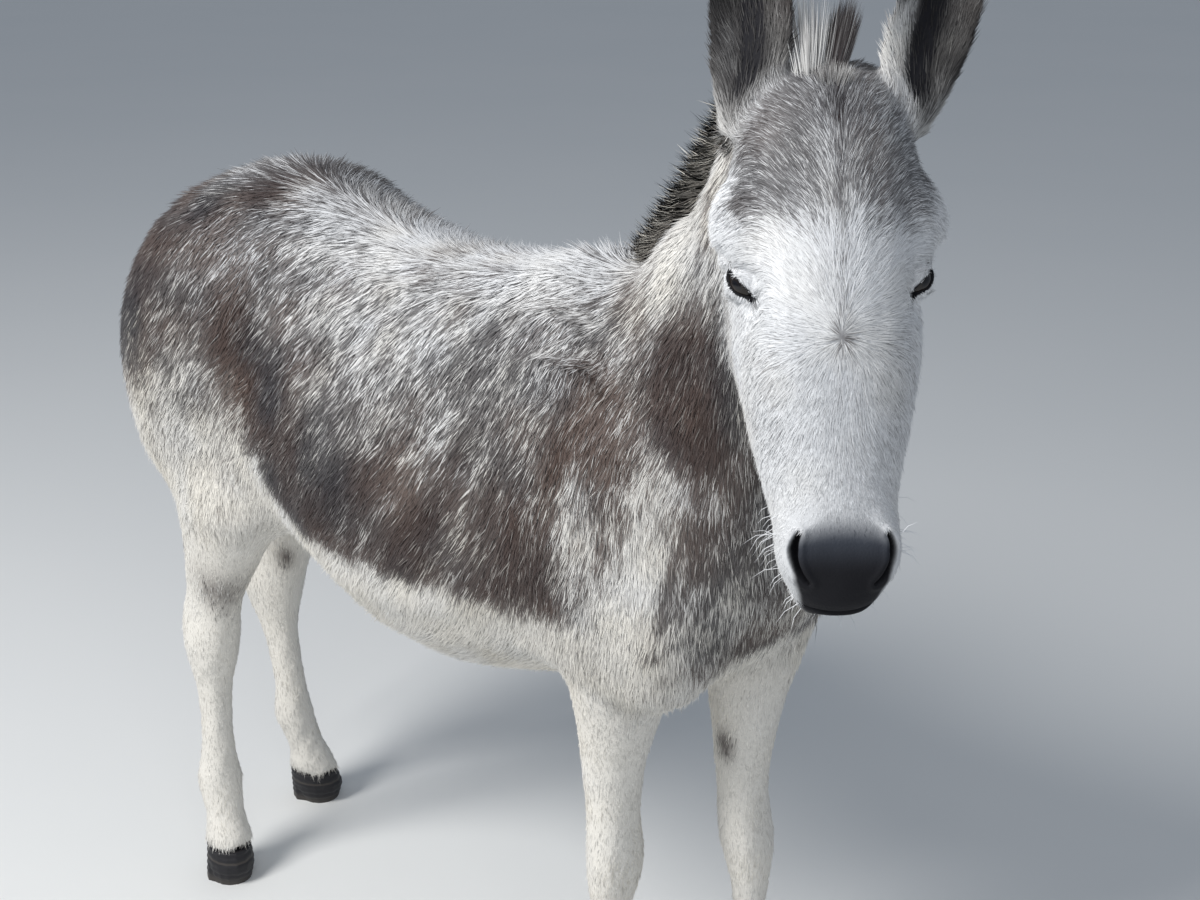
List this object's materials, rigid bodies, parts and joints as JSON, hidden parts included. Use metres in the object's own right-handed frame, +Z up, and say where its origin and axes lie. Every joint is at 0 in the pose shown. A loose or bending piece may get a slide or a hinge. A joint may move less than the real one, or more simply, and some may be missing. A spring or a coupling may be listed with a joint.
{
  "type": "donkey",
  "caption": "Life-size donkey standing on four hooves, its head turned to its right, with long upright ears, a short mane and a tufted tail.",
  "frame": {"origin": "on the ground, under the centre of the bounding box", "axes": "+Z up; the trunk's axis runs along Y with the breast towards -Y and the tail towards +Y; the donkey's left side faces +X"},
  "size_m": [0.4636, 1.38, 1.5131],
  "materials": {
    "coat_grey": "dense short hair, mottled grey and brown",
    "coat_white": "dense short hair, white to cream",
    "hair_dark": "long coarse hair",
    "hoof": "dull horn",
    "eye": "wet and glossy"
  },
  "bodies": {
    "root": {"trunk": "coat_grey", "neck": "coat_grey", "head": "coat_white", "foreleg_right": "coat_white", "forehoof_right": "hoof", "foreleg_left": "coat_white", "forehoof_left": "hoof", "hindleg_right": "coat_white", "hindhoof_right": "hoof", "hindleg_left": "coat_white", "hindhoof_left": "hoof", "ear_right": "coat_grey", "eye_right": "eye", "ear_left": "coat_grey", "eye_left": "eye", "mane": "hair_dark", "forelock": "hair_dark", "tail_dock": "coat_grey", "tail_switch": "hair_dark"}
  },
  "joints": []
}
